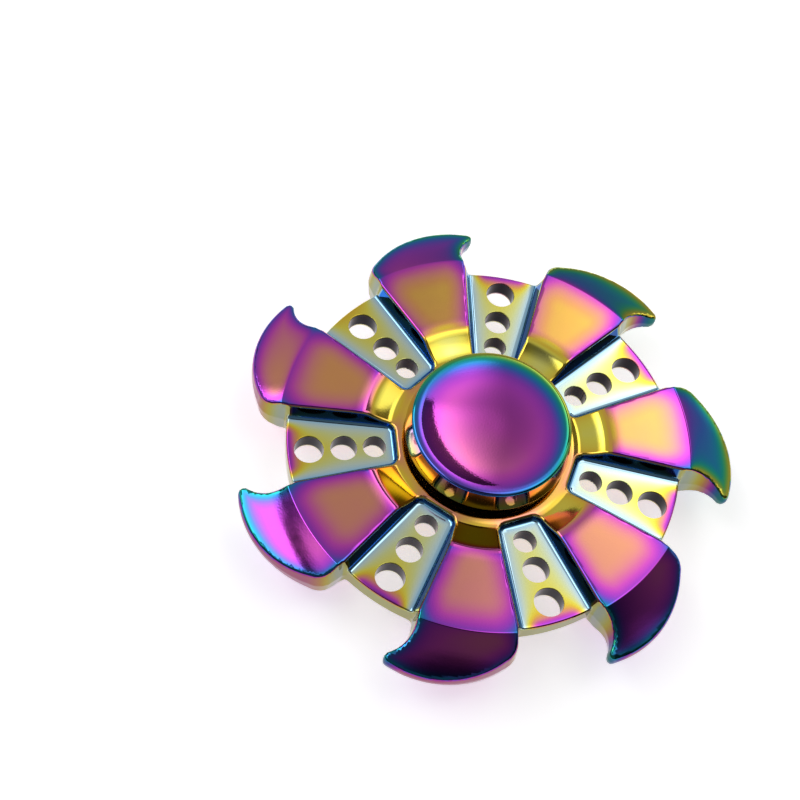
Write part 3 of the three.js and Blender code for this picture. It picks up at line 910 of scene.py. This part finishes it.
def plated(name, roughness, ripple):
    """Interference plating: its colour follows the film attribute, with faint uneven patches."""
    material, tree, shader = new_material(name)
    coords = object_coords(tree)
    film = tree.nodes.new("ShaderNodeAttribute")
    film.attribute_name = "film"
    patches = math_node(tree, "SUBTRACT", noise(tree, coords, PATCH_SCALE, 2.0), 0.5)
    uneven = math_node(tree, "MULTIPLY_ADD", patches, PATCH_DEPTH)
    link(tree, film.outputs["Fac"], uneven.node.inputs[2])
    ramp = tree.nodes.new("ShaderNodeValToRGB")
    elements = ramp.color_ramp.elements
    while len(elements) < len(FILM_STOPS):
        elements.new(0.5)
    for element, (at, colour) in zip(elements, FILM_STOPS):
        element.position = at / FILM_SPAN
        element.color = (*colour, 1)
    link(tree, math_node(tree, "DIVIDE", uneven, FILM_SPAN), ramp.inputs["Fac"])
    # The second attribute paints shade: it darkens the colour toward near-black.
    painted_shade = tree.nodes.new("ShaderNodeAttribute")
    painted_shade.attribute_name = "painted_shade"
    shade = tree.nodes.new("ShaderNodeMix")
    shade.data_type = "RGBA"
    link(tree, painted_shade.outputs["Fac"], shade.inputs[MIX_FACTOR])
    link(tree, ramp.outputs["Color"], shade.inputs[MIX_A])
    shade.inputs[MIX_B].default_value = (*PAINTED_SHADE_COLOUR, 1)
    link(tree, shade.outputs[MIX_RESULT], shader.inputs["Base Color"])
    shader.inputs["Metallic"].default_value = 1.0
    haze = math_node(tree, "MULTIPLY", noise(tree, coords, HAZE_SCALE, 4.0), roughness * 0.8)
    link(tree, math_node(tree, "ADD", haze, roughness * 0.6), shader.inputs["Roughness"])
    bump = tree.nodes.new("ShaderNodeBump")
    bump.inputs["Strength"].default_value = 1.0
    bump.inputs["Distance"].default_value = ripple
    link(tree, noise(tree, coords, RIPPLE_SCALE, 1.0), bump.inputs["Height"])
    link(tree, bump.outputs["Normal"], shader.inputs["Normal"])
    return material


def steel(name, colour, roughness, streaks):
    """Turned or stamped steel with fine rings of tool marks."""
    material, tree, shader = new_material(name)
    coords = object_coords(tree)
    shader.inputs["Metallic"].default_value = 1.0
    shader.inputs["Base Color"].default_value = (*colour, 1)
    marks = noise(tree, coords, streaks, 4.0, 0.6)
    rough = math_node(tree, "MULTIPLY_ADD", marks, roughness * 0.6)
    rough.node.inputs[2].default_value = roughness * 0.7
    link(tree, rough, shader.inputs["Roughness"])
    tint = tree.nodes.new("ShaderNodeMixRGB")
    tint.inputs["Color1"].default_value = (*[c * 0.86 for c in colour], 1)
    tint.inputs["Color2"].default_value = (*colour, 1)
    link(tree, marks, tint.inputs["Fac"])
    link(tree, tint.outputs["Color"], shader.inputs["Base Color"])
    return material


def wear(piece, material):
    piece.data.materials.clear()
    piece.data.materials.append(material)


# ------------------------------------------------------------------ build the object

RAINBOW = plated("rainbow_plate", 0.08, 1.1e-6)
CAP_MIRROR = plated("cap_plate", 0.05, 2.0e-6)
RACE_STEEL = steel("bearing_steel", (0.60, 0.61, 0.64), 0.22, 1500.0)
BALL_STEEL = steel("ball_steel", (0.80, 0.81, 0.83), 0.06, 2500.0)
SHIELD_STEEL = steel("shield_steel", (0.48, 0.49, 0.52), 0.34, 1800.0)
CAGE_BRASS = steel("cage_brass", (0.62, 0.44, 0.16), 0.32, 1800.0)

points, faces, normals, film, painted_shade = build_wheel()
wheel = make_mesh("spinner_wheel", points, faces, normals)
add_values(wheel, "film", film)
add_values(wheel, "painted_shade", painted_shade)
wear(wheel, RAINBOW)
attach(wheel, "wheel")
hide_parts("spinner_body")

for make, node in ((front_cap, "front_cap"), (rear_cap, "rear_cap")):
    cap = make()
    coords = np.array([v.co for v in cap.data.vertices]) / MM
    add_values(cap, "film", cap_film(coords))
    # Painted shade under the cap's rim: the skirt is darkened.
    add_values(cap, "painted_shade", 0.35 * smoothstep(CAP_EDGE_Z - 0.1, CAP_EDGE_Z - 0.5, np.abs(coords[:, 2])))
    wear(cap, CAP_MIRROR)
    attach(cap, "caps")
    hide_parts(node)

STEEL_PIECES = [
    (outer_race(), "wheel", "bearing_outer_race", RACE_STEEL, "bearing_steel"),
    (inner_race(), "caps", "bearing_inner_race", RACE_STEEL, "bearing_steel"),
    (shield("shield_front", 1), "wheel", "front_shield", SHIELD_STEEL, "shield_steel"),
    (shield("shield_rear", -1), "wheel", "rear_shield", SHIELD_STEEL, "shield_steel"),
    (snap_ring("snap_wire_front", 1), "wheel", "front_snap_ring", SHIELD_STEEL, "shield_steel"),
    (snap_ring("snap_wire_rear", -1), "wheel", "rear_snap_ring", SHIELD_STEEL, "shield_steel"),
    (cage(), "cage", "bearing_cage", CAGE_BRASS, "cage_brass"),
]
for i in range(BALLS):
    piece = ball(f"steel_ball_{i + 1:02d}", i)
    STEEL_PIECES.append((piece, f"ball_{i + 1:02d}", f"bearing_ball_{i + 1:02d}", BALL_STEEL, "ball_steel"))
for piece, body, node, material, slot in STEEL_PIECES:
    wear(piece, material)
    wear(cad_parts[node], material)
    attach(piece, body)
    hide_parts(node)

# ------------------------------------------------------------------ stage, lights and camera


FLOOR_HALF = 1.5  # metres
FLOOR_GLOW = 0.56
CAMERA_PLACE = (-21.24, -92.99, 175.15)
CAMERA_TURN = (28.52, -6.97, 6.78)  # degrees
CAMERA_LENS = 70.65


def build_floor():
    size = FLOOR_HALF
    mesh = bpy.data.meshes.new("floor")
    z = -CAP_TOP * MM
    corners = [(-size, -size, z), (size, -size, z), (size, size, z), (-size, size, z)]
    mesh.from_pydata(corners, [], [(0, 1, 2, 3)])
    floor = bpy.data.objects.new("floor", mesh)
    bpy.context.scene.collection.objects.link(floor)
    material, _, shader = new_material("floor_white")
    shader.inputs["Base Color"].default_value = (0.93, 0.93, 0.935, 1)
    shader.inputs["Roughness"].default_value = 0.9
    shader.inputs["Specular IOR Level"].default_value = 0.0
    shader.inputs["Emission Color"].default_value = (1, 1, 1, 1)
    shader.inputs["Emission Strength"].default_value = FLOOR_GLOW
    wear(floor, material)


def build_world():
    """A room with a tall window on either hand, dark behind the photographer."""
    world = bpy.data.worlds.new("studio")
    world.use_nodes = True
    bpy.context.scene.world = world
    tree = world.node_tree
    background = tree.nodes["Background"]
    direction = tree.nodes.new("ShaderNodeTexCoord").outputs["Generated"]
    split = tree.nodes.new("ShaderNodeSeparateXYZ")
    link(tree, direction, split.inputs[0])
    x, y, z = split.outputs

    def rise(value, low, high, start=0.0, end=1.0):
        """Goes smoothly from start to end as value goes from low to high."""
        node = tree.nodes.new("ShaderNodeMapRange")
        node.interpolation_type = "SMOOTHSTEP"
        for name, number in (("From Min", low), ("From Max", high), ("To Min", start), ("To Max", end)):
            node.inputs[name].default_value = number
        link(tree, value, node.inputs["Value"])
        return node.outputs["Result"]

    def product(*factors):
        total = factors[0]
        for factor in factors[1:]:
            total = math_node(tree, "MULTIPLY", total, factor)
        return total

    def toward(aim):
        dot = tree.nodes.new("ShaderNodeVectorMath")
        dot.operation = "DOT_PRODUCT"
        dot.inputs[1].default_value = Vector(aim).normalized()
        link(tree, direction, dot.inputs[0])
        return dot.outputs["Value"]

    def apart(a, b):
        """How far a direction is from (a, b), seen from above."""
        aside = math_node(tree, "SUBTRACT", x, a)
        ahead = math_node(tree, "SUBTRACT", y, b)
        square = math_node(tree, "ADD", product(aside, aside), product(ahead, ahead))
        return math_node(tree, "SQRT", square, 0.0)

    # A dark curtain hangs beyond a round edge, high on the right.
    curtain = product(rise(apart(-0.05, 0.35), 0.416, 0.424), rise(y, 0.40, 0.43))
    curtain = product(curtain, rise(x, 0.02, 0.09), rise(z, 0.52, 0.64))
    clear = math_node(tree, "SUBTRACT", 1.0, math_node(tree, "MULTIPLY", curtain, 0.93))

    # The window on the left has a round lower edge with a dark frame, and light beyond it.
    edge = apart(-0.09, 0.375)
    on_left = rise(x, -0.36, -0.24, 1.0, 0.0)
    left = product(2.5, rise(edge, 0.38, 0.50), rise(edge, 0.660, 0.674, 1.0, 0.0), on_left)
    left = product(left, rise(y, 0.48, 0.54, 1.0, 0.0))
    beyond = product(0.9, rise(edge, 0.700, 0.735), rise(edge, 0.78, 0.95, 1.0, 0.0), on_left)
    beyond = product(beyond, rise(y, 0.10, 0.25, 1.0, 0.0))
    frame_dark = product(rise(edge, 0.655, 0.67), rise(edge, 0.700, 0.725, 1.0, 0.0), on_left)

    wall = math_node(tree, "MULTIPLY", product(rise(x, 0.48, 0.62), rise(y, 0.12, 0.25, 1.0, 0.0)), 0.75)
    room = product(0.48, rise(z, 0.05, 0.45, 0.60, 1.0), rise(y, -0.28, 0.05, 0.25, 1.0))
    room = product(room, math_node(tree, "SUBTRACT", 1.0, wall))
    room = product(room, math_node(tree, "SUBTRACT", 1.0, product(frame_dark, 0.8)))
    right = product(1.6, rise(x, 0.05, 0.25), rise(x, 0.62, 0.72, 1.0, 0.0), rise(y, -0.15, 0.1))
    right = product(right, rise(y, 0.40, 0.48, 0.48, 1.0), rise(y, 0.68, 0.82, 1.0, 0.0), rise(z, 0.2, 0.4))
    lamp = product(rise(toward((0.35, -0.02, 0.94)), 0.95, 0.985), 0.8)
    right = math_node(tree, "ADD", right, lamp)
    lens = rise(toward((0.10, -0.26, 0.96)), 0.975, 0.995, 1.0, 0.15)

    light = math_node(tree, "ADD", room, right)
    light = math_node(tree, "ADD", product(light, clear), left)
    light = math_node(tree, "ADD", light, beyond)
    link(tree, product(light, lens), background.inputs["Strength"])
    background.inputs["Color"].default_value = (1, 1, 1, 1)
    # Behind the object stands a plain pale backdrop.
    backdrop = tree.nodes.new("ShaderNodeBackground")
    backdrop.inputs["Color"].default_value = (0.92, 0.92, 0.92, 1)
    choose = tree.nodes.new("ShaderNodeMixShader")
    link(tree, tree.nodes.new("ShaderNodeLightPath").outputs["Is Camera Ray"], choose.inputs[0])
    link(tree, background.outputs[0], choose.inputs[1])
    link(tree, backdrop.outputs[0], choose.inputs[2])
    link(tree, choose.outputs[0], tree.nodes["World Output"].inputs["Surface"])


def build_camera():
    camera = bpy.data.cameras.new("camera")
    camera.sensor_width = 36.0
    camera.lens = CAMERA_LENS
    holder = bpy.data.objects.new("camera", camera)
    holder.location = Vector(CAMERA_PLACE) * MM
    holder.rotation_euler = [math.radians(a) for a in CAMERA_TURN]
    camera.clip_start = 0.01
    bpy.context.scene.collection.objects.link(holder)
    bpy.context.scene.camera = holder


bpy.context.scene.view_settings.view_transform = "Standard"
build_floor()
build_world()
build_camera()
